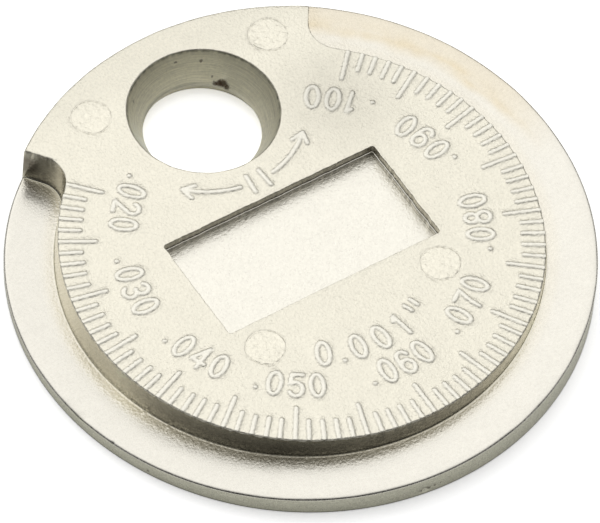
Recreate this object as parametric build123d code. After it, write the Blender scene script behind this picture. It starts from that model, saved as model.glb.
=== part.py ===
"""Coin-shaped spark plug gap gauge, cast in one piece.

Millimetres and degrees. The origin is on the disc's axis at the flat back
face, +Z points out of the marked face, and +Y points from the axis to the hole.

The back is flat. The rim's upper face climbs as a helix around a round boss,
so that the rim is as thick as the reading marked beside it.
"""
from build123d import *
from math import asin, cos, degrees, radians, sin, sqrt, tan
import os

INCH = 25.4

# Disc
disc_diameter = 32.5
full_thickness = 2.66
edge_bevel = 0.10

# Scale: readings in inches, with one mark for each step
first_reading = 0.020
last_reading = 0.100
reading_step = 0.001
middle_reading = 0.060
middle_mark_angle = 270.0
mark_pitch = 3.41

# Boss that carries the marks, and its drafted wall
boss_diameter = 26.7
boss_draft = 4.0

# Ends of the full-thickness sector, and the round corner at each foot
sector_low_end = 56.35
sector_high_end = 128.0
sector_corner = 1.75

# Raised marks
mark_width = 0.28
mark_height = 0.10
short_mark_length = 1.30
long_mark_length = 2.12
marks_per_long = 5
mark_tip_width = 0.12

# Gap opener: a hole that narrows to a short land and opens again at the back
hole_distance = 10.17
hole_mouth_diameter = 8.56
hole_land_diameter = 6.62
hole_land_height = 0.20
hole_land_depth = 1.90
hole_back_flare = 25.0

# Rectangular pocket at the middle, with a narrow step part of the way down
pocket_length = 13.6
pocket_width = 6.8
pocket_depth = 0.75
pocket_corner = 0.15
pocket_draft = 3.0
pocket_step_depth = 0.44
pocket_step_width = 0.07

# Shallow round marks of the mould's ejector pins
pin_mark_diameter = 2.25
pin_mark_depth = 0.04
pin_mark_spread = 5.7
pin_mark_high = 12.9
pin_mark_low = -5.15

# How far a cutter runs past the face that it cuts, in millimetres and in degrees
past = 1.0
end_margin = 2.0

# How deep a raised mark is seated in the face that carries it
mark_seat = 0.05

disc_radius = disc_diameter / 2
boss_radius = boss_diameter / 2


def mark_angle(reading):
    """Angle of the mark for a reading, in degrees anticlockwise from +X."""
    return middle_mark_angle + (reading - middle_reading) / reading_step * mark_pitch


def rim_thickness(angle):
    """The law of the gauge: the rim's thickness at an angle equals the reading there."""
    reading = middle_reading + (angle - middle_mark_angle) / mark_pitch * reading_step
    return reading * INCH


def polar(radius, angle):
    return (radius * cos(radians(angle)), radius * sin(radians(angle)))


def rim_outline():
    """Plan of the lowered rim: a ring left open by the sector, with round corners."""
    centre_radius = boss_radius + sector_corner
    lean = degrees(asin(sector_corner / centre_radius))
    tangent_radius = sqrt(centre_radius**2 - sector_corner**2)
    outside = max(disc_radius, tangent_radius) + past
    start = sector_high_end
    end = sector_low_end + 360
    halfway = (start + end) / 2
    bisector = (90 - lean) / 2

    def corner(edge_angle, turn):
        """Three points of the round corner, from the straight end to the boss."""
        centre = edge_angle + turn * lean
        cx, cy = polar(centre_radius, centre)
        half = centre + turn * (180 + bisector)
        dx, dy = polar(sector_corner, half)
        return (polar(tangent_radius, edge_angle), (cx + dx, cy + dy), polar(boss_radius, centre))

    high = corner(start, 1)
    low = corner(end, -1)
    with BuildSketch() as plan:
        with BuildLine():
            Line(polar(outside, start), high[0])
            ThreePointArc(*high)
            ThreePointArc(high[2], polar(boss_radius, halfway), low[2])
            ThreePointArc(low[2], low[1], low[0])
            Line(low[0], polar(outside, end))
            ThreePointArc(polar(outside, end), polar(outside, halfway), polar(outside, start))
        make_face()
    return plan.sketch


def rim_space():
    """What is missing above the rim: a drafted prism with a helical floor."""
    top = Plane.XY.offset(full_thickness)
    prism = extrude(top * rim_outline(), -full_thickness, taper=boss_draft)
    prism += extrude(top * rim_outline(), past)
    start = sector_high_end - end_margin
    turn = sector_low_end + 360 + end_margin - start
    climb = rim_thickness(start + turn) - rim_thickness(start)
    inner = boss_radius - past
    outer = disc_radius + past
    guide = Helix(pitch=climb * 360 / turn, height=climb, radius=inner)
    guide = Pos(0, 0, rim_thickness(start)) * Rot(0, 0, start) * guide
    section = Plane(origin=guide @ 0, x_dir=Vector(*polar(1, start)), z_dir=-(guide % 0))
    crest = disc_radius - edge_bevel - inner
    fall = outer - inner - crest
    tall = full_thickness + past
    with BuildSketch() as floor_and_bevel:
        with BuildLine():
            Polyline((0, 0), (crest, 0), (crest + fall, -fall), (crest + fall, tall), (0, tall), close=True)
        make_face()
    return prism & sweep(section * floor_and_bevel.sketch, path=guide, is_frenet=True)


def hole():
    """Gap opener: a cone from the marked face, a short round land and a flare at the back."""
    land_radius = hole_land_diameter / 2
    land_top = full_thickness - hole_land_depth
    land_foot = land_top - hole_land_height
    slope = (hole_mouth_diameter / 2 - land_radius) / hole_land_depth
    mouth = hole_mouth_diameter / 2 + slope * past
    flare = land_radius + (land_foot + past) * tan(radians(hole_back_flare))
    with BuildSketch(Plane.XZ) as half_section:
        with BuildLine():
            Polyline(
                (0, full_thickness + past),
                (mouth, full_thickness + past),
                (land_radius, land_top),
                (land_radius, land_foot),
                (flare, -past),
                (0, -past),
                close=True,
            )
        make_face()
    return Pos(0, hole_distance, 0) * revolve(half_section.sketch, axis=Axis.Z)


def pocket():
    """Rectangular pocket with drafted walls, a narrow step and small corner rounds."""
    top = Plane.XY.offset(full_thickness)
    narrower = 2 * pocket_step_width
    mouth = RectangleRounded(pocket_length, pocket_width, pocket_corner)
    well = RectangleRounded(pocket_length - narrower, pocket_width - narrower, pocket_corner)
    space = extrude(top * mouth, -pocket_step_depth, taper=pocket_draft)
    return space + extrude(top * well, -pocket_depth, taper=pocket_draft)


def pin_marks():
    """Four shallow round marks that the ejector pins left."""
    marks = []
    for side in (-1, 1):
        for y in (pin_mark_high, pin_mark_low):
            place = Pos(side * pin_mark_spread, y, full_thickness - pin_mark_depth)
            disc = Cylinder(pin_mark_diameter / 2, past, align=(Align.CENTER, Align.CENTER, Align.MIN))
            marks.append(place * disc)
    return marks


def scale_mark(reading, length):
    """One raised mark: a ridge from the boss's edge inwards, blunt at its inner end."""
    side = mark_width / 2
    tip_side = mark_tip_width / 2
    outer_end = sqrt(boss_radius**2 - side**2)
    tip = boss_radius - length
    shoulder = tip + side
    with BuildSketch(Plane.XY.offset(full_thickness - mark_seat)) as ridge:
        with BuildLine():
            Polyline(
                (outer_end, -side),
                (outer_end, side),
                (shoulder, side),
                (tip, tip_side),
                (tip, -tip_side),
                (shoulder, -side),
                close=True,
            )
        make_face()
    return Rot(0, 0, mark_angle(reading)) * extrude(ridge.sketch, mark_height + mark_seat)


def scale():
    """All the raised marks, one for each step of the reading."""
    steps = round((last_reading - first_reading) / reading_step)
    marks = []
    for step in range(steps + 1):
        length = short_mark_length if step % marks_per_long else long_mark_length
        marks.append(scale_mark(first_reading + step * reading_step, length))
    return marks


def gauge_disc():
    disc = Cylinder(disc_radius, full_thickness, align=(Align.CENTER, Align.CENTER, Align.MIN))
    disc = chamfer(disc.edges().filter_by(GeomType.CIRCLE), edge_bevel)
    body = disc - rim_space()
    body -= [hole(), pocket(), *pin_marks()]
    return body + scale()


body = gauge_disc()
print("body", body.volume, body.is_valid, len(body.solids()))
os.makedirs("parts", exist_ok=True)
export_step(body, "parts/gauge_disc.step")
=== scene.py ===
"""Looks of the coin-shaped spark plug gap gauge: one satin nickel casting on a white floor.

The casting is one closed mesh. Its upper side is a height above the back face, sampled in plan
at points that follow each edge, ridge and pocket. Plan sizes and heights here are millimetres
and degrees, in the frame of the solid: origin on the axis at the back face, +Y to the hole.
"""

from math import asin, cos, degrees, hypot, pi, radians, sin, sqrt, tan
from types import SimpleNamespace

import bmesh
import bpy
import numpy as np
from mathutils import Matrix, Vector
from mathutils.geometry import delaunay_2d_cdt
from mathutils.kdtree import KDTree


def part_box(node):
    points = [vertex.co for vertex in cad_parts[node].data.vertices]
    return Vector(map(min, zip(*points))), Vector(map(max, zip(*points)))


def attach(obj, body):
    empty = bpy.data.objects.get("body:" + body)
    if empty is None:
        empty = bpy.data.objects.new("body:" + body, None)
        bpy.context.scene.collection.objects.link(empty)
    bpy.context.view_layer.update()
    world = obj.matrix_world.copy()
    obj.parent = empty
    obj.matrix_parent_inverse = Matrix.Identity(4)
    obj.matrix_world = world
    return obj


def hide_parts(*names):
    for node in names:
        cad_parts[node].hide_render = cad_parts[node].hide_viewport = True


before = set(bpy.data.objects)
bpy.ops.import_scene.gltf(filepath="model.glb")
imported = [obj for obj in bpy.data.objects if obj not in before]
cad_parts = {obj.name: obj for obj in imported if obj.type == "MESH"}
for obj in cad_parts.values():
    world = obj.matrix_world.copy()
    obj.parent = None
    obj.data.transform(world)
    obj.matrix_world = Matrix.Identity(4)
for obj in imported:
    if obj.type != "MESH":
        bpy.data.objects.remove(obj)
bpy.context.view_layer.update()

MM = 0.001
INCH = 25.4

# Sizes that repeat those of the solid; the outer wall stays a hair inside the solid's
MARK_HEIGHT = 0.10
WALL_INSIDE = 0.003
box_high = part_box("gauge_disc")[1]
RADIUS = round(box_high.x / MM, 3) - WALL_INSIDE
FULL = round(box_high.z / MM, 3) - MARK_HEIGHT
BOSS = 13.35
BOSS_DRAFT = tan(radians(4.0))
END_LOW = 56.35
END_HIGH = 128.0
CORNER = 1.75
MIDDLE_READING = 60
MIDDLE_ANGLE = 270.0
PITCH = 3.41
SHORT_MARK = 1.30
LONG_MARK = 2.12
MARKS_PER_LONG = 5
HOLE_Y = 10.17
HOLE_MOUTH = 4.28
HOLE_LAND = 3.31
HOLE_LAND_TOP = 0.76
HOLE_LAND_FOOT = 0.56
HOLE_BACK = 3.571
POCKET_X = 6.80
POCKET_Y = 3.40
POCKET_DEPTH = 0.75
POCKET_CORNER = 0.15
POCKET_DRAFT = tan(radians(3.0))
STEP_DEPTH = 0.44
STEP_WIDTH = 0.07
STEP_INSET = STEP_WIDTH + STEP_DEPTH * POCKET_DRAFT
PIN_RADIUS = 1.12
PIN_MARKS = ((-5.6, 12.88), (5.95, 12.88), (-5.58, -5.13), (5.68, -5.2))

# Rounds of the casting's edges
EDGE_ROUND = 0.12
EDGE_FALL = 0.035
EDGE_FALL_WIDTH = 0.42
BOSS_ROUND = 0.05
SCALLOP = 0.07
FOOT_ROUND = 0.06
END_FOOT_ROUND = 0.14
POCKET_ROUND = 0.03
STEP_ROUND = 0.02
HOLE_ROUND = 0.05

# How far the face and the rim lie below those of the solid, and where each wall starts
FACE_SUNK = 0.012
RIM_SUNK = 0.006
FACE = FULL - FACE_SUNK
BOSS_EDGE = FACE - BOSS_ROUND
POCKET_EDGE = FACE - POCKET_ROUND
STEP_EDGE = FULL - STEP_DEPTH - STEP_ROUND

# A thin bead along the foot of the boss's wall
BEAD_HEIGHT = 0.010
BEAD_WIDTH = 0.03

# A chip on the edge of the hole's land
CHIP = (2.62, 12.27)
CHIP_WIDTH = 0.22
CHIP_DEPTH = 0.20

CORNER_CENTRE = BOSS + CORNER
CORNER_LEAN = degrees(asin(CORNER / CORNER_CENTRE))
CORNER_TANGENT = sqrt(CORNER_CENTRE**2 - CORNER**2)


def polar(radius, angle):
    """Plan point, or points, at a radius and an angle in degrees."""
    turn = np.radians(angle)
    return np.stack([radius * np.cos(turn), radius * np.sin(turn)], axis=-1)


def mark_angle(reading):
    """Angle of the mark for a reading in thousandths of an inch."""
    return MIDDLE_ANGLE + (reading - MIDDLE_READING) * PITCH


def rim_thickness(angle):
    """The law of the gauge, at angles from END_HIGH on."""
    return (MIDDLE_READING + (angle - MIDDLE_ANGLE) / PITCH) * 0.001 * INCH


def rim_side_angle(x, y):
    """Angle counted on from the high end of the sector, in degrees."""
    return END_HIGH + (np.degrees(np.arctan2(y, x)) - END_HIGH) % 360


def ripple(x, y, size, seed, waves=14):
    """Smooth pseudo-random field of about unit strength, with bumps about size wide."""
    draw = np.random.default_rng(seed)
    total = np.zeros_like(x)
    for _ in range(waves):
        way = draw.uniform(0, 2 * pi)
        pace = 2 * pi / (size * draw.uniform(1.4, 3.2))
        phase = draw.uniform(0, 2 * pi)
        total += np.sin((x * cos(way) + y * sin(way)) * pace + phase)
    return total / sqrt(waves / 2)


def fade(value, start, end):
    """Smooth step from 0 at start to 1 at end."""
    t = np.clip((value - start) / (end - start), 0, 1)
    return t * t * (3 - 2 * t)


def bell(value, middle, width):
    """Bump of height 1 at middle, that has fallen to 1/e at width from it."""
    return np.exp(-(((value - middle) / width) ** 2))


def skin(x, y, waves):
    """Waves of the casting's skin, each given by its height, size and seed."""
    return sum(height * ripple(x, y, size, seed) for height, size, seed in waves)


def resample(line, step):
    """Points along a polyline, about step apart, with both ends kept."""
    line = np.asarray(line, float)
    runs = np.hypot(*np.diff(line, axis=0).T)
    along = np.concatenate([[0], np.cumsum(runs)])
    count = max(2, int(round(along[-1] / step)) + 1)
    where = np.linspace(0, along[-1], count)
    return np.stack([np.interp(where, along, values) for values in line.T], axis=-1)


def ellipse_arc(cx, cy, rx, ry, start, end):
    """Polyline along part of an ellipse, anticlockwise where end is past start."""
    count = max(6, int(abs(end - start) / 9))
    turn = np.radians(np.linspace(start, end, count + 1))
    return np.stack([cx + rx * np.cos(turn), cy + ry * np.sin(turn)], axis=-1)


# Numerals: centre lines of the raised strokes, in millimetres from the middle of each digit
DIGIT_HALF_WIDTH = 0.345
DIGIT_HALF_HEIGHT = 0.715
OVAL = ellipse_arc(0, 0, DIGIT_HALF_WIDTH, DIGIT_HALF_HEIGHT, 90, 450)
DIGITS = {
    "0": [OVAL],
    "1": [[(-0.2, 0.42), (0.03, 0.69), (0.03, -0.72)]],
    "2": [
        np.vstack([ellipse_arc(0, 0.36, 0.34, 0.355, 165, -38), [(-0.34, -0.70), (0.37, -0.70)]]),
    ],
    "3": [
        np.vstack([ellipse_arc(0, 0.355, 0.315, 0.36, 155, -80), [(-0.08, 0.0)]]),
        ellipse_arc(-0.01, -0.355, 0.36, 0.36, 88, -150),
    ],
    "4": [[(0.17, -0.72), (0.17, 0.70), (-0.38, -0.32), (0.42, -0.32)]],
    "5": [
        np.vstack(
            [[(0.33, 0.70), (-0.24, 0.70), (-0.31, 0.06)], ellipse_arc(0, -0.26, 0.37, 0.44, 125, -152)]
        ),
    ],
    "6": [
        ellipse_arc(0, -0.29, 0.345, 0.425, 0, 360),
        np.vstack([ellipse_arc(0.02, 0.28, 0.33, 0.43, 20, 150), [(-0.345, -0.05), (-0.345, -0.3)]]),
    ],
    "7": [[(-0.35, 0.68), (0.37, 0.68), (0.02, -0.12), (-0.10, -0.72)]],
    "8": [ellipse_arc(0, 0.36, 0.29, 0.345, 0, 360), ellipse_arc(0, -0.35, 0.355, 0.365, 0, 360)],
}
DIGITS["9"] = [-np.asarray(line) for line in DIGITS["6"]]
DIGITS["."] = [[(0, 0), (0.01, 0)]]
DIGITS['"'] = [[(-0.26, 0.70), (-0.26, 0.2)], [(0.26, 0.70), (0.26, 0.2)]]

# Arcs on which the digits of a reading and its point stand, the turn from one to the next, and
# how much further on a 1 stands
DIGIT_RADIUS = 9.78
DIGIT_TURN = 6.74
POINT_RADIUS = 10.27
POINT_TURN = -12.3
NARROW_ONE = 1.17

# Reading, and how far its middle digit lies past its mark, in degrees
LABELS = {20: 3.8, 30: 2.9, 40: 1.8, 50: -0.3, 60: 2.35, 70: 0.6, 80: 0.0, 90: 2.6, 100: 1.2}

# The plain value inside them: each glyph, its place on the arc and its lift towards the centre
UNIT_RADIUS = 7.72
UNIT_TURN = 10.4
UNIT_GLYPHS = (
    ("0", -2.3, 0),
    (".", -1.58, -0.66),
    ("0", -0.9, 0),
    ("0", 0.1, 0),
    ("1", 1.1, 0),
    ('"', 2.1, 0),
)

# The sign below the hole: where its arrows start and end, their heads, and its two bars
ARROW_RADIUS = 5.62
ARROW_TURNS = (11, 44)
HEAD_LENGTH = 0.62
HEAD_HALF_WIDTH = 0.42
BAR_TURN = 4.6
BAR_HALF_LENGTH = 0.58

# Half the width of a raised stroke at its foot and at its flat top, its height, how far a scale
# mark's centre line stops before its inner end and runs past the boss's edge, and the rows of
# points beside a centre line
RIDGE_FOOT = 0.205
RIDGE_SHOULDER = 0.07
RIDGE_HEIGHT = 0.066
RIDGE_TIP = 0.06
MARK_PAST = 0.35
RIDGE_OFFSETS = (0.0, 0.08, 0.115, 0.155, 0.205)

# Skin of the casting: height, size and seed of its waves
FACE_SKIN = ((0.006, 2.2, 1), (0.0035, 0.7, 2))
RIM_SKIN = ((0.004, 2.6, 3), (0.0015, 0.6, 4))
FLOOR_SKIN = ((0.002, 3.0, 5),)
EDGE_ROUGH = ((0.10, 0.35, 8), (0.08, 0.12, 9))
STROKE_ROUGH = ((0.006, 0.09, 10),)
HOLE_ROUGH = ((0.004, 0.4, 16),)
POCKET_ROUGH_X = ((0.009, 0.6, 12), (0.008, 0.16, 13))
POCKET_ROUGH_Y = ((0.006, 0.6, 14), (0.007, 0.16, 15))

# Ejector pins' marks: direction across their scratches, and the ring round each
PIN_GRAIN = 42.0
PIN_RING_DEPTH = 0.024
PIN_RING_WIDTH = 0.045

# A low burr round the pocket: height, distance outside its edge and width
BURR_HEIGHT = 0.012
BURR_PLACE = 0.07
BURR_WIDTH = 0.05

# Nicks and dents: angle, radius, width and depth
EDGE_DENTS = (
    (128.3, 16.1, 0.16, 0.06),
    (190.5, 16.25, 0.55, 0.07),
    (187.0, 16.25, 0.35, 0.04),
    (199.0, 16.25, 0.09, 0.09),
    (206.0, 13.62, 0.07, -0.03),
    (199.3, 13.60, 0.07, -0.03),
)
# Nicks in the outer wall: angle, height, width, height of the nick and depth
WALL_DENTS = (
    (262.0, 0.42, 0.19, 0.14, 0.16),
    (263.6, 0.58, 0.20, 0.07, 0.05),
    (266.4, 0.50, 0.10, 0.05, 0.03),
    (260.6, 0.36, 0.08, 0.05, 0.03),
)


def placed(line, centre, radius, angle):
    """A glyph's line set on an arc, its top towards the arc's centre."""
    line = np.asarray(line, float)
    out = polar(1.0, angle)
    along = np.array([-out[1], out[0]])
    return np.asarray(centre) + (radius - line[:, 1:2]) * out + line[:, 0:1] * along


def label_strokes():
    """The nine readings, each with its point and three digits."""
    strokes = []
    for reading, shift in LABELS.items():
        middle = mark_angle(reading) + shift
        for place, digit in enumerate(f"{reading:03d}"):
            turn = (place - 1) * DIGIT_TURN + (NARROW_ONE if digit == "1" else 0)
            strokes += [placed(line, (0, 0), DIGIT_RADIUS, middle + turn) for line in DIGITS[digit]]
        strokes += [placed(line, (0, 0), POINT_RADIUS, middle + POINT_TURN) for line in DIGITS["."]]
    return strokes


def unit_strokes():
    """A plain value on the arc inside the readings: one step of the scale."""
    strokes = []
    for glyph, place, lift in UNIT_GLYPHS:
        angle = MIDDLE_ANGLE + place * UNIT_TURN
        strokes += [placed(line, (0, 0), UNIT_RADIUS - lift, angle) for line in DIGITS[glyph]]
    return strokes


def arrow_strokes():
    """Two bars with arrows that point away from them, below the hole."""
    centre = (0, HOLE_Y)
    start, end = ARROW_TURNS
    strokes = []
    for side in (-1, 1):
        turns = side * np.linspace(start, end, 34)
        strokes.append(polar(ARROW_RADIUS, MIDDLE_ANGLE + turns) + centre)
        for lift in (-1, 1):
            head = [(0, 0), (-side * HEAD_LENGTH, lift * HEAD_HALF_WIDTH)]
            strokes.append(placed(head, centre, ARROW_RADIUS, MIDDLE_ANGLE + side * end))
        bar = [(0, -BAR_HALF_LENGTH), (0, BAR_HALF_LENGTH)]
        strokes.append(placed(bar, centre, ARROW_RADIUS, MIDDLE_ANGLE + side * BAR_TURN))
    return strokes


# The scale marks lie a little off their places, and keep the boss's edge sharp where they reach it
FIRST, LAST = 20, 100
mark_draw = np.random.default_rng(5)
MARK_ANGLES = mark_angle(np.arange(FIRST, LAST + 1)) + mark_draw.uniform(-0.12, 0.12, LAST - FIRST + 1)
MARK_SHIFTS = mark_draw.uniform(-0.03, 0.03, LAST - FIRST + 1)
CRISP_WIDTH = 0.16

# Distance between the mesh's points along the pocket's sides
POCKET_SPACING = 0.11


def mark_strokes():
    """The 81 scale marks, from just past the boss's edge inwards."""
    strokes = []
    for number, angle in enumerate(MARK_ANGLES):
        length = SHORT_MARK if (FIRST + number) % MARKS_PER_LONG else LONG_MARK
        tip = BOSS - length + RIDGE_TIP + MARK_SHIFTS[number]
        strokes.append(polar(np.array([tip, BOSS + MARK_PAST]), angle))
    return strokes


def top_rounding(x, y):
    """Round of the boss's top edge: worn between the marks, and sharp where one runs over it."""
    angle = rim_side_angle(x, y)
    number = np.clip(np.round((angle - mark_angle(FIRST)) / PITCH), 0, LAST - FIRST).astype(int)
    along = np.radians(angle - MARK_ANGLES[number]) * BOSS
    crisp = bell(along, 0, CRISP_WIDTH)
    past_start = fade(angle, END_HIGH + 5, END_HIGH + 7.5)
    past_end = fade(angle, END_LOW + 352, END_LOW + 354)
    worn = np.clip(1 - 1.4 * crisp + skin(x, y, EDGE_ROUGH), -0.4, 1.3)
    return BOSS_ROUND + past_start * (1 - past_end) * SCALLOP * worn


def foot_rounding(x, y):
    """Fillet at the foot of that wall: wider at the sector's high end."""
    near_end = 1 - fade(rim_side_angle(x, y), END_HIGH + 5, END_HIGH + 8)
    return FOOT_ROUND + near_end * (END_FOOT_ROUND - FOOT_ROUND)


MARKS = mark_strokes()
SIGNS = label_strokes() + unit_strokes() + arrow_strokes()


def ridge_heights(x, y):
    """Height of the raised strokes above the face."""
    height = np.zeros_like(x)
    for line in MARKS + SIGNS:
        line = np.asarray(line, float)
        low = line.min(axis=0) - RIDGE_FOOT
        high = line.max(axis=0) + RIDGE_FOOT
        near = np.flatnonzero((x > low[0]) & (x < high[0]) & (y > low[1]) & (y < high[1]))
        if not len(near):
            continue
        point = np.stack([x[near], y[near]], axis=-1)
        away = np.full(len(near), 9.0)
        for a, b in zip(line[:-1], line[1:]):
            run = b - a
            share = np.clip((point - a) @ run / (run @ run), 0, 1)
            away = np.minimum(away, np.hypot(*(point - a - share[:, None] * run).T))
        away = away + skin(*point.T, STROKE_ROUGH)
        flank = 1 - fade(away, RIDGE_SHOULDER, RIDGE_FOOT)
        crown = 1 - fade(away, 0.0, RIDGE_FOOT)
        height[near] = np.maximum(height[near], RIDGE_HEIGHT * (0.85 * flank + 0.15 * crown))
    return height * (1 + 0.05 * np.clip(ripple(x, y, 0.3, 11), -1, 1))


def outline_distance(x, y):
    """Distance outside the top line of the boss and the sector, negative inside them."""
    radius = np.hypot(x, y)
    past_high = rim_side_angle(x, y) - END_HIGH
    span = END_LOW + 360 - END_HIGH
    past_low = span - past_high
    distance = radius - BOSS
    for past, end, turn in ((past_high, END_HIGH, 1), (past_low, END_LOW, -1)):
        aside = radius * np.sin(np.radians(past))
        along = radius * np.cos(np.radians(past))
        beside = (past > 0) & (past < 60)
        distance = np.where(beside, np.minimum(distance, aside), distance)
        cx, cy = polar(CORNER_CENTRE, end + turn * CORNER_LEAN)
        corner = (past > 0) & (past < CORNER_LEAN) & (along < CORNER_TANGENT)
        distance = np.where(corner, CORNER - np.hypot(x - cx, y - cy), distance)
    sector = past_low < 0
    inside = -radius * np.sin(np.radians(np.minimum(-past_low, 360 - past_high)))
    return np.where(sector, np.where(radius > BOSS - 1, inside, radius - BOSS), distance)


def wall_parts(tall, draft, foot_round):
    """Size of the fillet at the foot of a drafted wall, and how far the wall leans out above it."""
    tall = np.maximum(tall, 1e-4)
    foot = np.minimum(foot_round, 0.8 * tall)
    return foot, (tall - foot) * draft


def step_down(distance, high, low, draft, edge, top_round, foot_round):
    """A drafted wall that starts at height edge, with a round above it and a fillet at its foot."""
    top = np.minimum(top_round, 0.45 * np.maximum(high - low, 1e-4))
    foot, reach = wall_parts(edge - low, draft, foot_round)
    into_round = np.clip(distance + top, 0, top)
    before_end = np.clip(reach + foot - distance, 0, foot)
    on_top = high - top + np.sqrt(np.maximum(top**2 - into_round**2, 0))
    on_wall = np.minimum(edge - distance / draft, high - top)
    in_foot = low + foot - np.sqrt(np.maximum(foot**2 - before_end**2, 0))
    wall_or_foot = np.where(distance < reach, on_wall, in_foot)
    return np.where(distance <= 0, on_top, wall_or_foot)


def pocket_wave(x, y):
    """How far the pocket's ragged edge lies outside its rectangle, along x and along y."""
    straight_x = 1 - fade(np.abs(y), POCKET_Y - 0.6, POCKET_Y - 0.25)
    straight_y = 1 - fade(np.abs(x), POCKET_X - 0.6, POCKET_X - 0.25)
    side_x = 7 * np.sign(x)
    side_y = 7 * np.sign(y)
    wave_x = skin(side_x, y, POCKET_ROUGH_X)
    wave_y = skin(x, side_y, POCKET_ROUGH_Y)
    return straight_x * wave_x, straight_y * wave_y


def pocket_distance(x, y, wave=(0.0, 0.0)):
    """Distance inside the pocket's edge, negative outside it."""
    ax = np.abs(x) - wave[0] - (POCKET_X - POCKET_CORNER)
    ay = np.abs(y) - wave[1] - (POCKET_Y - POCKET_CORNER)
    outside = np.hypot(np.maximum(ax, 0), np.maximum(ay, 0))
    return POCKET_CORNER - outside - np.minimum(np.maximum(ax, ay), 0)


def made_ragged(plan):
    """Plan points, those near the pocket's edge shifted as that edge waves."""
    x, y = plan.T
    near = 1 - fade(np.abs(pocket_distance(x, y) - 0.1), 0.2, 0.5)
    wave_x, wave_y = pocket_wave(x, y)
    return plan + np.stack([near * np.sign(x) * wave_x, near * np.sign(y) * wave_y], axis=-1)


def pin_mark_heights(x, y):
    """Shallow step and wrinkled skin of each ejector pin's mark."""
    height = np.zeros_like(x)
    across = x * cos(radians(PIN_GRAIN)) + y * sin(radians(PIN_GRAIN))
    along = y * cos(radians(PIN_GRAIN)) - x * sin(radians(PIN_GRAIN))
    for number, (cx, cy) in enumerate(PIN_MARKS):
        away = np.hypot(x - cx, y - cy) - PIN_RADIUS * (1 + 0.02 * ripple(x, y, 0.8, 40 + number))
        inside = 1 - fade(away, -0.06, 0.0)
        wrinkles = 0.006 * ripple(x, y, 0.17, 50 + number)
        scratches = 0.003 * ripple(across, 0.16 * along, 0.16, 60 + number)
        height += inside * (wrinkles + scratches) - PIN_RING_DEPTH * bell(away, 0, PIN_RING_WIDTH)
    return height


def dent(x, y, angle, radius, wide, deep):
    """A round hollow at a place given by angle and radius."""
    cx, cy = polar(radius, angle)
    return deep * bell(np.hypot(x - cx, y - cy), 0, wide)


def wear(x, y):
    """What nicks and dents take away."""
    lost = np.zeros_like(x)
    for place in EDGE_DENTS:
        lost += dent(x, y, *place)
    return lost


def foot_distance(x, y):
    """Distance from the top line of the boss and the sector to where their wall's fillet ends."""
    rim = rim_thickness(np.minimum(rim_side_angle(x, y), END_LOW + 359.5))
    foot, reach = wall_parts(BOSS_EDGE - rim, BOSS_DRAFT, foot_rounding(x, y))
    return reach + foot


def upper_surface(x, y):
    """Height of the upper side of the casting above its back face."""
    radius = np.hypot(x, y)
    pocket = pocket_distance(x, y, pocket_wave(x, y))
    burr = BURR_HEIGHT * bell(pocket, -BURR_PLACE, BURR_WIDTH)
    face = FACE + skin(x, y, FACE_SKIN) + ridge_heights(x, y) + pin_mark_heights(x, y) + burr
    angle = rim_side_angle(x, y)
    rim = rim_thickness(np.minimum(angle, END_LOW + 361)) - RIM_SUNK + skin(x, y, RIM_SKIN)
    outside = outline_distance(x, y)
    rounds = top_rounding(x, y), foot_rounding(x, y)
    height = step_down(outside, face, rim, BOSS_DRAFT, BOSS_EDGE, *rounds)
    height += BEAD_HEIGHT * bell(outside, foot_distance(x, y), BEAD_WIDTH) - wear(x, y)

    step = FULL - STEP_DEPTH
    floor = FULL - POCKET_DEPTH + skin(x, y, FLOOR_SKIN)
    height = step_down(pocket, height, step, POCKET_DRAFT, POCKET_EDGE, POCKET_ROUND, STEP_ROUND)
    well = pocket - STEP_INSET
    height = step_down(well, height, floor, POCKET_DRAFT, STEP_EDGE, STEP_ROUND, POCKET_ROUND)

    inside_hole = HOLE_MOUTH - np.hypot(x, y - HOLE_Y) + skin(x, y, HOLE_ROUGH)
    slope = (HOLE_MOUTH - HOLE_LAND) / (FULL - HOLE_LAND_TOP)
    chip = CHIP_DEPTH * bell(np.hypot(x - CHIP[0], y - CHIP[1]), 0, CHIP_WIDTH)
    cone = FULL - inside_hole / slope - chip
    mouth = height - HOLE_ROUND * fade(inside_hole, -HOLE_ROUND, HOLE_ROUND)
    height = np.where(inside_hole > 0, np.minimum(cone, mouth), mouth)

    height = height - EDGE_FALL * np.clip((radius - RADIUS) / EDGE_FALL_WIDTH + 1, 0, 1) ** 2
    round_edge = EDGE_ROUND * (1 + 0.08 * ripple(x, y, 1.3, 17))
    rounding = np.clip(round_edge - (RADIUS - radius), 0, round_edge)
    return height - (round_edge - np.sqrt(round_edge**2 - rounding**2))


def kept_apart(points, others, gap):
    """The points that lie more than gap away from all others."""
    if not len(others):
        return points
    tree = KDTree(len(others))
    for number, (x, y) in enumerate(others):
        tree.insert((x, y, 0), number)
    tree.balance()
    return np.array([p for p in points if tree.find((p[0], p[1], 0))[2] > gap]).reshape(-1, 2)


def thinned(points, gap):
    """Points taken in order, each left out where one within gap of it is already in."""
    cells = {}
    kept = []
    for x, y in points:
        column, row = int(x // gap), int(y // gap)
        close = False
        for i in (column - 1, column, column + 1):
            for j in (row - 1, row, row + 1):
                for px, py in cells.get((i, j), ()):
                    close = close or hypot(x - px, y - py) < gap
        if not close:
            cells.setdefault((column, row), []).append((x, y))
            kept.append((x, y))
    return np.array(kept).reshape(-1, 2)


def turned(way, angle):
    """A plan vector turned by an angle in degrees."""
    spin = radians(angle)
    x, y = way
    return np.array([x * cos(spin) - y * sin(spin), x * sin(spin) + y * cos(spin)])


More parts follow.
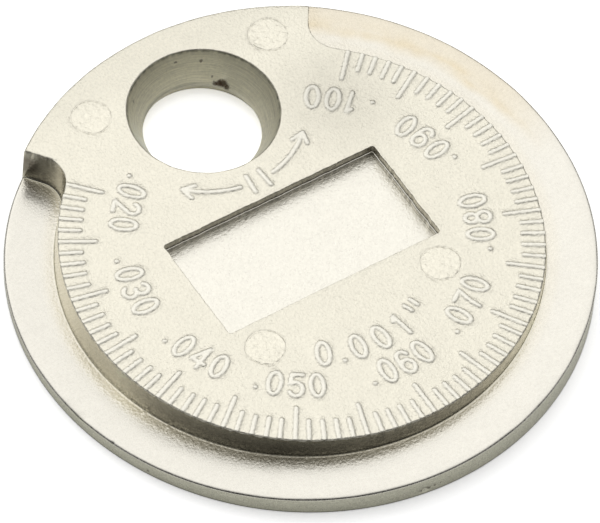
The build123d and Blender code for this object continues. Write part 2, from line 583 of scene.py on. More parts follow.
def stroke_points(line, step):
    """Points beside a stroke: rows along it, and arcs round its ends."""
    path = resample(line, step)
    ahead = np.gradient(path, axis=0)
    ahead /= np.hypot(*ahead.T)[:, None]
    aside = np.stack([-ahead[:, 1], ahead[:, 0]], axis=-1)
    rows = [path]
    for offset in RIDGE_OFFSETS[1:]:
        rows += [path + offset * aside, path - offset * aside]
    for end, way in ((path[0], -ahead[0]), (path[-1], ahead[-1])):
        for offset in RIDGE_OFFSETS[1:]:
            rows += [(end + offset * turned(way, angle))[None] for angle in (-60, -30, 0, 30, 60)]
    return np.vstack(rows)


def circle(centre, radius, count):
    """Points evenly spaced round a circle."""
    angles = np.linspace(0, 360, count, endpoint=False)
    return polar(radius, angles) + np.asarray(centre)


def outline_pieces():
    """Points of the top line of boss and sector: place, way out of it, and if it is the disc's edge."""
    pieces = []
    for end, turn in ((END_HIGH, 1), (END_LOW, -1)):
        inner = np.linspace(CORNER_TANGENT, RADIUS - 0.13, 14)
        outer = RADIUS - np.array([0.09, 0.05, 0.02, 0.0])
        for reach in np.concatenate([inner, outer]):
            pieces.append((polar(reach, end), polar(1.0, end + turn * 90), reach >= RADIUS - 0.1))
        centre = polar(CORNER_CENTRE, end + turn * CORNER_LEAN)
        first = end - turn * 90
        last = end + turn * CORNER_LEAN + 180
        last += 360 * round((first - last) / 360)
        for angle in np.linspace(first, last, 26)[1:-1]:
            pieces.append((centre + polar(CORNER, angle), -polar(1.0, angle), False))

    start = END_HIGH + CORNER_LEAN
    stop = END_LOW + 360 - CORNER_LEAN
    angles = [start, stop]
    beside = np.array([-offset for offset in RIDGE_OFFSETS[:0:-1]] + list(RIDGE_OFFSETS))
    for middle in MARK_ANGLES:
        angles += list(middle + np.degrees(beside / BOSS))
        angles += [middle + PITCH * share for share in (0.3, 0.4, 0.5, 0.6, 0.7)]
    angles += list(np.arange(start, mark_angle(FIRST) - 1, 0.8))
    angles += list(np.arange(mark_angle(LAST) + 1, stop, 0.8))
    angles = np.unique(np.round(angles, 3))
    angles = angles[(angles >= start) & (angles <= stop)]
    return pieces + [(polar(BOSS, angle), polar(1.0, angle), False) for angle in angles]


def outline_strip():
    """Rows of points along that line, from its round edge to the foot of its wall."""
    pieces = outline_pieces()
    base = np.array([piece[0] for piece in pieces])
    normal = np.array([piece[1] for piece in pieces])
    at_edge = np.array([piece[2] for piece in pieces])
    rim = rim_thickness(rim_side_angle(*(base + 0.05 * normal).T))
    foot, reach = wall_parts(BOSS_EDGE - rim, BOSS_DRAFT, foot_rounding(*base.T))
    end = reach + foot
    rows = [0 * reach - away for away in (0.2, 0.14, 0.10, 0.075, 0.05, 0.03, 0.012, 0.0)]
    rows += [share * reach for share in (0.05, 0.5, 0.95, 1)]
    rows += [end - share * foot for share in (0.75, 0.4, 0)]
    rows += [end + away for away in (0.02, 0.04, 0.065, 0.11, 0.2)]
    points = []
    for row in rows:
        line = base + row[:, None] * normal
        shrink = np.where(at_edge, np.hypot(*base.T) / np.hypot(*line.T), 1.0)
        points.append(line * shrink[:, None])
    return np.vstack(points)


def pocket_ring(inset):
    """Points round the pocket at one inset: a fan at each corner, and rows between them."""
    sx = POCKET_X - POCKET_CORNER
    sy = POCKET_Y - POCKET_CORNER
    corner = max(POCKET_CORNER - inset, 0.01)
    loop = []
    for cx, cy, start in ((sx, sy, 0), (-sx, sy, 90), (-sx, -sy, 180), (sx, -sy, 270)):
        for angle in range(start, start + 91, 15):
            loop.append((cx + corner * cos(radians(angle)), cy + corner * sin(radians(angle))))
    loop = np.array(loop + loop[:1])
    rows = [loop[:-1]]
    for last in (6, 13, 20, 27):
        side = loop[last + 1] - loop[last]
        count = int(round(np.abs(side).max() / POCKET_SPACING))
        share = np.linspace(0, 1, count + 1)[1:-1, None]
        rows.append(loop[last] + share * side)
    return np.vstack(rows)


def pocket_rows():
    """Rows of points round the pocket, from just outside its edge to its floor."""
    upper = (STEP_DEPTH - POCKET_ROUND - STEP_ROUND) * POCKET_DRAFT
    lower = (POCKET_DEPTH - STEP_DEPTH - POCKET_ROUND - STEP_ROUND) * POCKET_DRAFT
    insets = [-0.2, -0.13, -0.09, -0.06, -0.03, -0.015, 0.0, 0.14 * upper, 0.86 * upper, upper]
    insets += [upper + 0.5 * STEP_ROUND, upper + STEP_ROUND, STEP_INSET - STEP_ROUND]
    insets += [STEP_INSET - 0.4 * STEP_ROUND, STEP_INSET]
    insets += [STEP_INSET + share * lower for share in (0.14, 0.86, 1.0)]
    insets += [STEP_INSET + lower + share * POCKET_ROUND for share in (0.4, 1.0, 3.0, 6.0)]
    return np.vstack([pocket_ring(inset) for inset in insets])


def hex_grid(step, reach):
    """Points of a staggered grid, slightly shaken, within a circle."""
    draw = np.random.default_rng(7)
    rows = np.arange(-reach, reach, step * 0.866)
    points = []
    for number, y in enumerate(rows):
        x = np.arange(-reach, reach, step) + (number % 2) * step / 2
        points.append(np.stack([x, np.full_like(x, y)], axis=-1))
    points = np.vstack(points)
    points += draw.uniform(-0.12, 0.12, points.shape) * step
    return points[np.hypot(*points.T) < reach]


def wall_wear(x, y, z):
    """How deep the outer wall's nicks and faint waves lie below its cylinder."""
    angle = rim_side_angle(x, y)
    lost = 0.004 + 0.002 * ripple(angle * 0.2836, 3 * z, 0.8, 18)
    for turn, level, wide, tall, deep in WALL_DENTS:
        along = np.radians(angle - turn) * RADIUS
        lost += deep * bell(along, 0, wide) * bell(z, level, tall)
    return lost


def upper_points():
    """All plan points of the upper side."""
    hole = (0, HOLE_Y)
    insets = (0.0, 0.004, 0.018, 0.042, 0.075, 0.12, 0.17, 0.26)
    edge = [circle((0, 0), RADIUS - inset, 680) for inset in insets]
    strip = thinned(outline_strip(), 0.004)
    edge_rows = kept_apart(np.vstack(edge), strip, 0.05)
    insets = (-0.14, -0.08, -0.05, -0.025, 0.0, 0.025, 0.05, 0.09)
    hole_rows = [circle(hole, HOLE_MOUTH - inset, 240) for inset in insets]
    hole_rows += [circle(hole, radius, 240) for radius in np.linspace(HOLE_MOUTH - 0.18, HOLE_LAND, 10)]
    fixed = np.vstack([strip, edge_rows, pocket_rows()] + hole_rows)

    strokes = [stroke_points(line, 0.075) for line in SIGNS]
    ticks = [stroke_points(line, 0.15) for line in MARKS]
    ridges = np.vstack(ticks + strokes)
    ridges = ridges[outline_distance(*ridges.T) < -0.14]
    ridges = kept_apart(thinned(ridges, 0.026), fixed, 0.04)
    pins = []
    for centre in PIN_MARKS:
        for away in (-0.09, -0.05, -0.025, 0, 0.025, 0.05, 0.09):
            pins.append(circle(centre, PIN_RADIUS + away, 84))
        pins.append(hex_grid(0.085, PIN_RADIUS - 0.12) + centre)
    pins = kept_apart(np.vstack(pins), np.vstack([fixed, ridges]), 0.05)
    known = np.vstack([fixed, ridges, pins])
    rim_rows = [circle((0, 0), radius, 400) for radius in np.arange(BOSS + 0.4, RADIUS - 0.3, 0.22)]
    rim_rows = kept_apart(np.vstack(rim_rows), known, 0.12)
    known = np.vstack([known, rim_rows])
    grid = hex_grid(0.26, RADIUS - 0.2)
    grid = grid[np.hypot(grid[:, 0], grid[:, 1] - HOLE_Y) > HOLE_MOUTH - 0.05]
    grid = kept_apart(grid, known, 0.13)
    return np.vstack([known, grid])


def triangulated(points, hole_centre, hole_radius):
    """Delaunay triangles over plan points, left open inside the hole's ring."""
    result = delaunay_2d_cdt([Vector(p) for p in points], [], [], 0, 1e-6)
    plan = np.array([tuple(p) for p in result[0]])
    faces = np.array([f for f in result[2] if len(f) == 3])
    middle = plan[faces].mean(axis=1) - hole_centre
    corners = plan[faces] - np.asarray(hole_centre)
    inside = (np.hypot(*np.moveaxis(corners, 2, 0)) < hole_radius + 0.002).all(axis=1)
    inside &= np.hypot(*middle.T) < hole_radius
    return plan, faces[~inside]


# How far to each side of a point a field is read for its slope
OFF = 0.001


def slopes(field, x, y):
    """Change of a field over twice that distance, along x and along y."""
    return field(x + OFF, y) - field(x - OFF, y), field(x, y + OFF) - field(x, y - OFF)


def vertex_places(mesh):
    """Places of a mesh's vertices in millimetres, one row for each axis."""
    places = np.zeros(len(mesh.vertices) * 3)
    mesh.vertices.foreach_get("co", places)
    return (places.reshape(-1, 3) / MM).T


def wall_normals(mesh):
    """Normals of the upper side's walls by their law; zero, which keeps the mesh's own, elsewhere."""
    x, y, z = vertex_places(mesh)
    within = np.hypot(x, y) < RADIUS - 0.1
    east, north = slopes(upper_surface, x, y)
    normal = np.column_stack([-east, -north, np.full(len(x), 2 * OFF)])
    normal /= np.linalg.norm(normal, axis=1)[:, None]
    outside = outline_distance(x, y)
    depth = pocket_distance(x, y, pocket_wave(x, y))
    wall = (outside > 0.002) & (outside < foot_distance(x, y) + 0.003) & within
    wall |= (depth > 0.002) & (depth < STEP_INSET + 0.05)
    wall &= (np.abs(z - upper_surface(x, y)) < 1e-3) & (normal[:, 2] < 0.3)

    east, north = slopes(outline_distance, x, y)
    upright = np.column_stack([east, north, np.full(len(x), 2 * OFF * BOSS_DRAFT)])
    upright /= np.linalg.norm(upright, axis=1)[:, None] + 1e-9
    tall = BOSS_EDGE - rim_thickness(rim_side_angle(x, y))
    foot, reach = wall_parts(tall, BOSS_DRAFT, foot_rounding(x, y))
    steep = (tall > 0.15) & (outside > -0.002) & (outside < reach + 0.002) & within & (z > 0.3)
    normal = np.where(steep[:, None], upright, normal)
    return normal * (wall | steep)[:, None]


# The casting's other rings: how far down the outer wall each lies, the turns of the lower bevel's
# round, and the radius and height of each ring of the bore below its land
WALL_SHARES = (0.06, 0.14, 0.24, 0.36, 0.48, 0.6, 0.68, 0.75, 0.81, 0.88, 0.94, 1.0)
BEVEL_TURNS = (20, 42, 66, 90)
BORE_RINGS = (
    (HOLE_LAND, HOLE_LAND_FOOT),
    (HOLE_LAND + 0.15, 0.31),
    (HOLE_BACK - 0.012, 0.03),
    (HOLE_BACK, 0.0),
)


def linked(name, data):
    """A new object in the scene."""
    made = bpy.data.objects.new(name, data)
    bpy.context.scene.collection.objects.link(made)
    return made


def build_casting():
    """The whole casting as one closed mesh: upper side, outer wall, bore and flat back."""
    plan, faces = triangulated(upper_points(), (0, HOLE_Y), HOLE_LAND)
    plan = made_ragged(plan)
    upper = np.column_stack([plan, upper_surface(*plan.T)])
    ring = np.flatnonzero(np.hypot(*plan.T) > RADIUS - 1e-3)
    ring = ring[np.argsort(np.arctan2(plan[ring, 1], plan[ring, 0]))]
    bore = np.flatnonzero(np.hypot(plan[:, 0], plan[:, 1] - HOLE_Y) < HOLE_LAND + 1e-3)
    bore = bore[np.argsort(np.arctan2(plan[bore, 1] - HOLE_Y, plan[bore, 0]))]

    vertices = [upper]
    triangles = [faces]
    quads = []
    total = len(upper)

    def add_row(row):
        """Numbers of the vertices that a new row gets."""
        nonlocal total
        vertices.append(row)
        total += len(row)
        return np.arange(total - len(row), total)

    def join_rows(a, b):
        """A closed band of quads between two rings."""
        quads.append(np.column_stack([a, b, np.roll(b, -1), np.roll(a, -1)]))
        return b

    top = upper[ring]
    last = ring
    for share in WALL_SHARES:
        row = top.copy()
        row[:, 2] += share * (EDGE_ROUND - row[:, 2])
        row[:, :2] *= 1 - wall_wear(*row.T)[:, None] / RADIUS
        last = join_rows(last, add_row(row))
    for turn in BEVEL_TURNS:
        inset = EDGE_ROUND * (1 - cos(radians(turn)))
        row = top.copy()
        row[:, :2] *= (RADIUS - inset) / RADIUS
        row[:, 2] = EDGE_ROUND * (1 - sin(radians(turn)))
        last = join_rows(last, add_row(row))
    foot_ring = last

    last = bore
    for size, level in BORE_RINGS:
        row = upper[bore].copy()
        row[:, :2] = (row[:, :2] - (0, HOLE_Y)) * (size / HOLE_LAND) + (0, HOLE_Y)
        row[:, 2] = level
        new = add_row(row)
        join_rows(new, last)
        last = new

    stacked = np.vstack(vertices)
    rims = np.vstack([stacked[foot_ring, :2], stacked[last, :2]])
    grid = hex_grid(0.45, RADIUS - 0.3)
    grid = grid[np.hypot(grid[:, 0], grid[:, 1] - HOLE_Y) > HOLE_BACK + 0.1]
    grid = kept_apart(grid, rims, 0.2)
    round_hole = circle((0, HOLE_Y), HOLE_BACK + 0.03, 240)
    back_plan, back_faces = triangulated(np.vstack([rims, round_hole, grid]), (0, HOLE_Y), HOLE_BACK)
    number = add_row(np.column_stack([back_plan, np.zeros(len(back_plan))]))
    triangles.append(number[back_faces][:, ::-1])

    mesh = bpy.data.meshes.new("gauge_casting")
    all_faces = np.vstack(triangles).tolist() + np.vstack(quads).tolist()
    mesh.from_pydata((np.vstack(vertices) * MM).tolist(), [], all_faces)
    casting = linked("gauge_casting", mesh)
    bm = bmesh.new()
    bm.from_mesh(mesh)
    bmesh.ops.remove_doubles(bm, verts=bm.verts, dist=1e-7)
    bmesh.ops.recalc_face_normals(bm, faces=bm.faces)
    bm.to_mesh(mesh)
    bm.free()
    mesh.polygons.foreach_set("use_smooth", [True] * len(mesh.polygons))
    mesh.normals_split_custom_set_from_vertices(wall_normals(mesh))
    return casting


casting = build_casting()


def node(tree, kind, inputs=(), **settings):
    """A new node with its settings, and its inputs set or linked by name or number."""
    made = tree.nodes.new(kind)
    for name, value in settings.items():
        setattr(made, name, value)
    for name, value in dict(inputs).items():
        if isinstance(value, bpy.types.NodeSocket):
            tree.links.new(value, made.inputs[name])
        else:
            made.inputs[name].default_value = value
    return made


def attribute(tree, name, output="Fac"):
    """A value or colour that comes with the mesh."""
    return node(tree, "ShaderNodeAttribute", attribute_name=name).outputs[output]


def math_node(tree, operation, a, b=0.0, c=0.0):
    """Result of one operation on up to three values."""
    return node(tree, "ShaderNodeMath", {0: a, 1: b, 2: c}, operation=operation).outputs[0]


def noise_node(tree, vector, scale, detail=2.0, roughness=0.5):
    """A noise value over a place."""
    inputs = {"Vector": vector, "Scale": scale, "Detail": detail, "Roughness": roughness}
    return node(tree, "ShaderNodeTexNoise", inputs).outputs["Fac"]


def spread(tree, value, low, high):
    """A noise value from about 0.3 to 0.7, stretched to run from low to high."""
    inputs = {"Value": value, "From Min": 0.3, "From Max": 0.7, "To Min": low, "To Max": high}
    return node(tree, "ShaderNodeMapRange", inputs, clamp=True).outputs[0]


# Dark specks, and spots of painted shade on the outer wall's nick and on the outer end of the sector's
# high end wall: place in millimetres, size and strength
SPECK_AND_SHADE_COLOUR = (0.07, 0.045, 0.03, 1)
SPECKS_AND_SHADE = (
    (11.93, 7.03, 1.6, 0.09, 0.7),
    (10.79, 8.90, 1.9, 0.08, 0.6),
    (2.66, 12.30, 0.93, 0.36, 0.92),
    (2.50, 12.47, 0.88, 0.28, 0.85),
    (2.35, 12.60, 0.85, 0.20, 0.7),
    (2.79, 12.05, 0.80, 0.24, 0.8),
    (0.66, 14.13, 2.14, 0.10, 0.6),
    (1.98, 13.59, 2.02, 0.12, 0.6),
    (2.29, 12.85, 1.18, 0.09, 0.5),
    (-2.80, 13.02, 2.11, 0.14, 0.35),
    (-14.41, -7.50, 0.39, 0.08, 0.6),
    # Painted shade in the nick of the outer wall
    (-2.07, -16.11, 0.45, 0.14, 0.75),
    (-1.70, -16.15, 0.53, 0.09, 0.6),
    (-1.36, -16.18, 0.60, 0.07, 0.5),
    (-2.48, -16.05, 0.40, 0.09, 0.55),
    # Painted shade on the outer end of the wall at the sector's high end
    (-9.82, 12.57, 1.50, 0.95, 0.62),
)


# Depth of the finest grain, in metres
BUMP_DEPTH = 0.000012


def satin_nickel():
    """Nickel plate over a cast grain: tint and gloss come with the mesh, grain from noise."""
    material = bpy.data.materials.new("satin_nickel")
    material.use_nodes = True
    tree = material.node_tree
    shader = tree.nodes["Principled BSDF"]
    inputs = {0: node(tree, "ShaderNodeTexCoord").outputs["Object"], 1: (1 / MM, 1 / MM, 1 / MM)}
    place = node(tree, "ShaderNodeVectorMath", inputs, operation="MULTIPLY").outputs[0]
    bored = attribute(tree, "bored")
    grain = noise_node(tree, place, 6.0, 3.0, 0.62)
    mottle = noise_node(tree, place, 0.9, 3.0, 0.6)

    axis = node(tree, "ShaderNodeSeparateXYZ", {0: place}).outputs
    north = math_node(tree, "SUBTRACT", axis["Y"], HOLE_Y)
    turn = math_node(tree, "ARCTAN2", north, axis["X"])
    level = math_node(tree, "MULTIPLY", axis["Z"], 10.0)
    ringed = node(tree, "ShaderNodeCombineXYZ", {"X": turn, "Y": 0.0, "Z": level}).outputs[0]
    streaks = noise_node(tree, ringed, 1.6, 4.0, 0.7)

    shade = spread(tree, grain, 0.91, 1.06)
    shade = math_node(tree, "MULTIPLY", shade, spread(tree, mottle, 0.985, 1.015))
    bore_shade = spread(tree, streaks, 0.78, 1.12)
    bore_shade = node(tree, "ShaderNodeMix", {0: bored, 2: 1.0, 3: bore_shade}).outputs[0]
    shade = math_node(tree, "MULTIPLY", shade, bore_shade)
    inputs = {0: attribute(tree, "tint", "Color"), "Scale": shade}
    colour = node(tree, "ShaderNodeVectorMath", inputs, operation="SCALE").outputs[0]
    ragged = math_node(tree, "MULTIPLY", spread(tree, grain, -0.5, 0.5), 0.09)
    # Dark specks and spots of painted shade, mixed into the colour
    for x, y, z, size, strength in SPECKS_AND_SHADE:
        away = node(tree, "ShaderNodeVectorMath", {0: place, 1: (x, y, z)}, operation="DISTANCE")
        away = math_node(tree, "ADD", away.outputs["Value"], ragged)
        inputs = {"Value": away, "From Min": 0.4 * size, "From Max": size}
        inputs.update({"To Min": strength, "To Max": 0.0})
        share = node(tree, "ShaderNodeMapRange", inputs, interpolation_type="SMOOTHSTEP").outputs[0]
        mix = node(tree, "ShaderNodeMix", {0: share, 6: colour, 7: SPECK_AND_SHADE_COLOUR}, data_type="RGBA")
        colour = mix.outputs[2]
    tree.links.new(colour, shader.inputs["Base Color"])
    rough = math_node(tree, "SUBTRACT", 1.0, attribute(tree, "gloss"))
    rough = math_node(tree, "ADD", rough, spread(tree, grain, -0.04, 0.04))
    tree.links.new(rough, shader.inputs["Roughness"])
    shader.inputs["Metallic"].default_value = 1.0
    relief = math_node(tree, "MULTIPLY", streaks, bored)
    grained = math_node(tree, "MULTIPLY", grain, attribute(tree, "coarse"))
    relief = math_node(tree, "MULTIPLY_ADD", relief, 1.5, grained)
    bump = node(tree, "ShaderNodeBump", {"Strength": 1.0, "Distance": BUMP_DEPTH, "Height": relief})
    tree.links.new(bump.outputs[0], shader.inputs["Normal"])
    return material


# Linear colours of the plate in its zones
FACE_TINT = (0.885, 0.845, 0.72)
RIM_TINT = (0.81, 0.78, 0.70)
RIDGE_TINT = (0.89, 0.862, 0.765)
POCKET_TINT = (0.85, 0.82, 0.73)
# The hole's wall: warmer than the face, and lighter as painted light on the bore
HOLE_LIT_TINT = (0.93, 0.90, 0.74)
WALL_TINT = (0.80, 0.76, 0.62)
FOOT_TINT = (0.81, 0.77, 0.67)
BACK_TINT = (0.80, 0.77, 0.68)
# What the stain and the outer wall take from the colour below them
STAIN = (0.93, 0.85, 0.71)
SIDE_SHADE = (1.0, 1.02, 0.92)

# Brighter and duller sides of the boss's wall, of the rim beside it and of the hole's wall, painted as
# light, shade and reflection: angle, span and strength
WALL_LIT = ((221.0, 26.0, -0.26), (306.0, 16.0, 0.33), (192.0, 8.0, 0.45))
FOOT_LIT = ((203.0, 20.0, 0.24), (234.0, 9.0, -0.26))
HOLE_LIT = ((185.0, 32.0, 0.28), (32.0, 18.0, -0.14))
# The rim is darker than its tint, and painted shade swings round the disc: mean share, swing round the
# disc and angle of its most shaded side
RIM_DARKER, RIM_SHADE_SWING, RIM_SHADED_ANGLE = 0.055, 0.03, 165.0
# A broad darker patch of the face: centre, width and strength
DULL_PLACE = (6.8, 7.2)
DULL_WIDTH = 3.2
DULL = 0.16

# Gloss and grain of the face, what each zone adds to them, and both of the back
GLOSS = 0.62
ZONE_GLOSS = {"rim": 0.10, "pocket": 0.08, "hole": -0.12, "wall": 0.10, "well": 0.12, "foot": 0.03}
BACK_GLOSS = 0.66
GRAIN = 3.6
ZONE_GRAIN = {
    "rim": -2.8,
    "foot": 1.6,
    "pocket": -1.0,
    "hole": -2.4,
    "pins": 0.2,
    "wall": -1.2,
    "well": -1.8,
    "ridge": -1.2,
    "late_rim": 0.5,
}
LEAST_GRAIN = 0.4
BACK_GRAIN = 2.2


def lit(angle, sides):
    """How much painted light and shade brighten or dull a wall at an angle, from its brighter and
    duller sides.
    """
    return sum(strength * bell(angle, middle, span) for middle, span, strength in sides)


def zones(x, y, z):
    """Where each point lies: distances in millimetres, and its share of each zone, from 0 to 1."""
    at = SimpleNamespace(radius=np.hypot(x, y), angle=rim_side_angle(x, y))
    at.outside = outline_distance(x, y)
    at.depth = pocket_distance(x, y, pocket_wave(x, y))
    at.into_hole = HOLE_MOUTH - np.hypot(x, y - HOLE_Y)
    at.hole_angle = np.degrees(np.arctan2(y - HOLE_Y, x)) % 360
    past_foot = at.outside - foot_distance(x, y)
    below_rim = rim_thickness(np.minimum(at.angle, END_LOW + 361)) - z
    upper = z > 0.5 * FULL
    within = at.radius < RADIUS - 0.02

    at.rim = fade(at.outside, -0.02, 0.03)
    at.late_rim = at.rim * fade(at.angle, 355, 375)
    at.wall = fade(at.outside, -0.03, 0.02) * (1 - fade(past_foot, -0.03, 0.0)) * within
    at.foot = at.rim * (1 - fade(past_foot, 0.25, 0.9))
    at.side = (at.radius > RADIUS - 0.16) * fade(below_rim, 0.08, 0.16)
    at.pocket = fade(at.depth, 0.02, 0.06) * upper
    past_step = fade(at.depth, STEP_INSET + 0.02, STEP_INSET + 0.05)
    at.well = fade(at.depth, -0.01, 0.01) * (1 - past_step) * upper
    at.ledge = bell(at.depth, STEP_INSET - 0.02, 0.025) * upper
    at.hole = fade(at.into_hole, -0.02, 0.03)
    at.ridge = np.clip(1.3 * ridge_heights(x, y) / RIDGE_HEIGHT - 0.3, 0, 1) * (z > FULL - 0.1)
    at.pins = np.zeros_like(x)
    for cx, cy in PIN_MARKS:
        away = np.hypot(x - cx, y - cy)
        at.pins += (1 - fade(away, PIN_RADIUS - 0.1, PIN_RADIUS)) * (z > FULL - 0.2)
    return at


def stain(x, y, at):
    """Film on the last part of the rim: streaks along it, and a band at the disc's edge."""
    arc = np.radians(at.angle) * RADIUS
    band = bell(at.radius - 0.15 * ripple(x, y, 1.5, 22), 14.75, 0.5)
    streaks = 0.5 + 0.3 * ripple(0.25 * arc, 1.2 * at.radius, 0.5, 21) + 0.15 * ripple(x, y, 0.45, 23)
    film = 0.5 * band * np.clip(streaks, 0, 1.3) + 0.55 * fade(at.radius, 14.1, 14.9)
    return np.clip(film * at.rim * fade(at.angle, 352, 374), 0, 1)


def tints_and_painted_light(x, y, z, at):
    """Colour of every point before its grain: each zone's tint, and the painted light and shade that
    brighten or dull it.
    """
    tint = np.tile(FACE_TINT, (len(x), 1))

    def blend(share, colour, base):
        """Bring a share of one zone's colour in, over the colour that lay there."""
        nonlocal tint
        tint += share[:, None] * (np.array(colour) - base)

    def scale(factor):
        """Brighten or dull every point by its factor."""
        nonlocal tint
        tint *= factor[:, None]

    def shade(share, colour):
        """Filter a share of the light through a colour."""
        nonlocal tint
        tint *= 1 - share[:, None] * (1 - np.array(colour))

    blend(at.rim, RIM_TINT, FACE_TINT)
    # Painted shade on the rim, heaviest on one side of the disc
    scale(1 - at.rim * (RIM_DARKER + RIM_SHADE_SWING * np.cos(np.radians(at.angle - RIM_SHADED_ANGLE))))
    blend(at.ridge, RIDGE_TINT, FACE_TINT)
    blend(at.pocket, POCKET_TINT, FACE_TINT)
    blend(at.hole, HOLE_LIT_TINT, FACE_TINT)
    blend(at.wall, WALL_TINT, RIM_TINT)
    scale(1 + at.wall * lit(at.angle, WALL_LIT))
    beside_wall = at.foot * (1 - at.wall)
    blend(beside_wall, FOOT_TINT, RIM_TINT)
    scale(1 + beside_wall * lit(at.angle, FOOT_LIT))

    shade(at.side, SIDE_SHADE)
    # Painted contact shade on the lower part of the outer wall, next to the floor
    scale(1 - 0.6 * at.side * (1 - fade(z, 0.10, 0.20)) * (z > 0.001))
    shade(stain(x, y, at), STAIN)
    dull = DULL * bell(np.hypot(x - DULL_PLACE[0], y - DULL_PLACE[1]), 0, DULL_WIDTH)
    scale(1 - (dull + 0.06 * fade(y, 12, 15)) * (1 - at.rim))
    scale(1 + at.hole * lit(at.hole_angle, HOLE_LIT))

    # Painted shade along dark lines: the sector's high end, the hole's land and mouth, and the pocket's
    # ledge
    near_end = np.minimum(at.angle - END_HIGH, END_HIGH + 360 - at.angle) < 8
    line = bell(at.outside, -0.02, 0.05) * fade(at.radius, 13.9, 14.6) * near_end
    scale(1 - 0.75 * line * np.clip(0.8 + 0.3 * ripple(x, y, 0.15, 25), 0, 1))
    land = bell(z, 0.72, 0.09) * np.exp(-(((at.hole_angle - 90) / 55) ** 4))
    scale(1 - 0.5 * at.hole * land)
    mouth = bell(at.into_hole, 0.05, 0.035)
    scale(1 - 0.6 * mouth * np.clip(0.5 + 0.3 * ripple(x, y, 0.2, 24), 0, 1))
    scale((1 + 0.05 * at.pins) * (1 - 0.4 * at.ledge))
    return tint


def zoned(base, by_zone, at):
    """A value of the face, with what each zone adds to it."""
    return base + sum(extra * getattr(at, zone) for zone, extra in by_zone.items())


def finish_attributes(mesh):
    """Tint with its painted light and shade, gloss, grain and bore share of every vertex, from where it
    lies.
    """
    x, y, z = vertex_places(mesh)
    at = zones(x, y, z)
    tint = tints_and_painted_light(x, y, z, at)
    gloss = zoned(GLOSS, ZONE_GLOSS, at)
    coarse = np.maximum(zoned(GRAIN, ZONE_GRAIN, at), LEAST_GRAIN)
    back = z < 0.02
    tint[back] = BACK_TINT
    gloss[back] = BACK_GLOSS
    coarse[back] = BACK_GRAIN
    colours = np.column_stack([tint, np.ones(len(x))])
    for name, kind, field, values in (
        ("tint", "FLOAT_COLOR", "color", colours),
        ("gloss", "FLOAT", "value", gloss),
        ("bored", "FLOAT", "value", at.hole),
        ("coarse", "FLOAT", "value", coarse),
    ):
        layer = mesh.attributes.new(name, kind, "POINT")
        layer.data.foreach_set(field, values.ravel().astype(np.float32))


finish_attributes(casting.data)
casting.data.materials.append(satin_nickel())
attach(casting, "root")
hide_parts("gauge_disc")

# Camera: as the photograph was taken, in millimetres from the origin
CAMERA_PLACE = (-128.23, -174.02, 296.74)
CAMERA_TARGET = (-0.934, -1.240, 2.66)
CAMERA_ROLL = 4.914
FOCAL_PER_WIDTH = 11.1533


def add_camera():
    """A camera at its place, turned to its target and rolled round its axis."""
    place = Vector(CAMERA_PLACE) * MM
    back = (place - Vector(CAMERA_TARGET) * MM).normalized()
    level = Vector((0, 0, 1)).cross(back).normalized()
    up = back.cross(level)
    roll = radians(CAMERA_ROLL)
    right = cos(roll) * level + sin(roll) * up
    up = back.cross(right)
    data = bpy.data.cameras.new("camera")
    data.sensor_width = 36
    data.lens = FOCAL_PER_WIDTH * data.sensor_width
    data.clip_start = 0.01
    data.clip_end = 10
    camera = linked("camera", data)
    camera.matrix_world = Matrix.Translation(place) @ Matrix((right, up, back)).transposed().to_4x4()
    bpy.context.scene.camera = camera


add_camera()


# Studio: a broad glow behind the gauge that falls off towards the camera, pale walls near the
# horizon, and a softbox behind it at the left
BRIGHT_WAY = (63.0, 54.0)
AMBIENT = 0.022
GLOW = 1.3
GLOW_FOOT = (0.05, 0.60)
HORIZON = 0.05
HORIZON_HEIGHT = 0.35
LAMP_WAY = (100.0, 34.0)
LAMP_DISTANCE = 0.45
LAMP_SIZE = (0.32, 0.24)
LAMP_RADIANCE = 0.35


def direction(turn, lift):
    """Unit vector at an angle round the axis and an angle above the floor."""
    return Vector((*polar(cos(radians(lift)), turn), sin(radians(lift))))


def add_world():
    """A soft glow round the bright direction, over a dim room with paler walls."""
    world = bpy.data.worlds.new("studio")
    world.use_nodes = True
    tree = world.node_tree
    way = node(tree, "ShaderNodeTexCoord").outputs["Generated"]
    inputs = {0: way, 1: direction(*BRIGHT_WAY)}
    dot = node(tree, "ShaderNodeVectorMath", inputs, operation="DOT_PRODUCT").outputs["Value"]
    glow = math_node(tree, "POWER", math_node(tree, "MAXIMUM", dot, 0.0), 2.0)
    lift = node(tree, "ShaderNodeSeparateXYZ", {0: way}).outputs["Z"]
    inputs = {"Value": lift, "From Max": HORIZON_HEIGHT, "To Min": HORIZON, "To Max": 0.0}
    walls = node(tree, "ShaderNodeMapRange", inputs, interpolation_type="SMOOTHSTEP").outputs[0]
    inputs = {"Value": lift, "From Min": GLOW_FOOT[0], "From Max": GLOW_FOOT[1]}
    above = node(tree, "ShaderNodeMapRange", inputs, interpolation_type="SMOOTHSTEP").outputs[0]
    glow = math_node(tree, "MULTIPLY", glow, above)
    strength = math_node(tree, "MULTIPLY_ADD", glow, GLOW, AMBIENT)
    strength = math_node(tree, "ADD", strength, walls)
    tree.links.new(strength, tree.nodes["Background"].inputs["Strength"])
    tree.nodes["Background"].inputs["Color"].default_value = (1, 1, 1, 1)
    bpy.context.scene.world = world


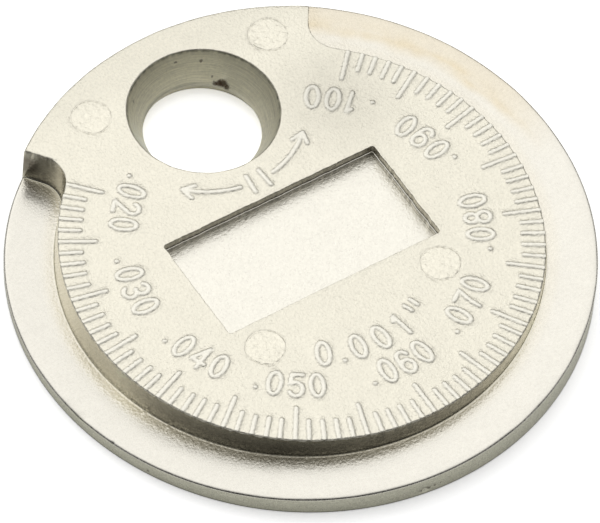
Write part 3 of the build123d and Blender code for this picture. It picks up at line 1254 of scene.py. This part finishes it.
def add_lamp():
    """The softbox, its power set by the brightness of its face."""
    data = bpy.data.lights.new("softbox", "AREA")
    data.shape = "RECTANGLE"
    data.size, data.size_y = LAMP_SIZE
    data.energy = LAMP_RADIANCE * pi * LAMP_SIZE[0] * LAMP_SIZE[1]
    lamp = linked("softbox", data)
    lamp.location = direction(*LAMP_WAY) * LAMP_DISTANCE
    lamp.rotation_euler = direction(*LAMP_WAY).to_track_quat("Z", "Y").to_euler()


# Floor: its side in metres and its colour. The camera sees it FLOOR_GAIN times as bright and with
# a glow of its own, and reflections show the FLOOR_MIRRORED share of that.
FLOOR_SIDE = 1.5
FLOOR_COLOUR = (0.9, 0.9, 0.9, 1)
FLOOR_GLOW = 0.45
FLOOR_GAIN = 1.6
FLOOR_MIRRORED = 0.20


def add_floor():
    """A white floor: lit as any matt white, and shown a little brighter than it is."""
    s = FLOOR_SIDE
    mesh = bpy.data.meshes.new("floor")
    mesh.from_pydata([(-s, -s, 0), (s, -s, 0), (s, s, 0), (-s, s, 0)], [], [(0, 1, 2, 3)])
    floor = linked("floor", mesh)
    material = bpy.data.materials.new("floor")
    material.use_nodes = True
    tree = material.node_tree
    tree.nodes.remove(tree.nodes["Principled BSDF"])
    path = node(tree, "ShaderNodeLightPath").outputs
    mirrored = math_node(tree, "MULTIPLY", path["Is Glossy Ray"], FLOOR_MIRRORED)
    seen = math_node(tree, "MAXIMUM", path["Is Camera Ray"], mirrored)
    plain = node(tree, "ShaderNodeBsdfDiffuse", {"Color": FLOOR_COLOUR}).outputs[0]
    bright = tuple(FLOOR_GAIN * c for c in FLOOR_COLOUR[:3]) + (1,)
    bright = node(tree, "ShaderNodeBsdfDiffuse", {"Color": bright}).outputs[0]
    glow = node(tree, "ShaderNodeEmission", {"Color": (1, 1, 1, 1), "Strength": FLOOR_GLOW}).outputs[0]
    bright = node(tree, "ShaderNodeAddShader", {0: bright, 1: glow}).outputs[0]
    mixed = node(tree, "ShaderNodeMixShader", {0: seen, 1: plain, 2: bright}).outputs[0]
    tree.links.new(mixed, tree.nodes["Material Output"].inputs["Surface"])
    mesh.materials.append(material)


add_world()
add_lamp()
add_floor()

bpy.context.scene.view_settings.view_transform = "Standard"
bpy.context.view_layer.update()
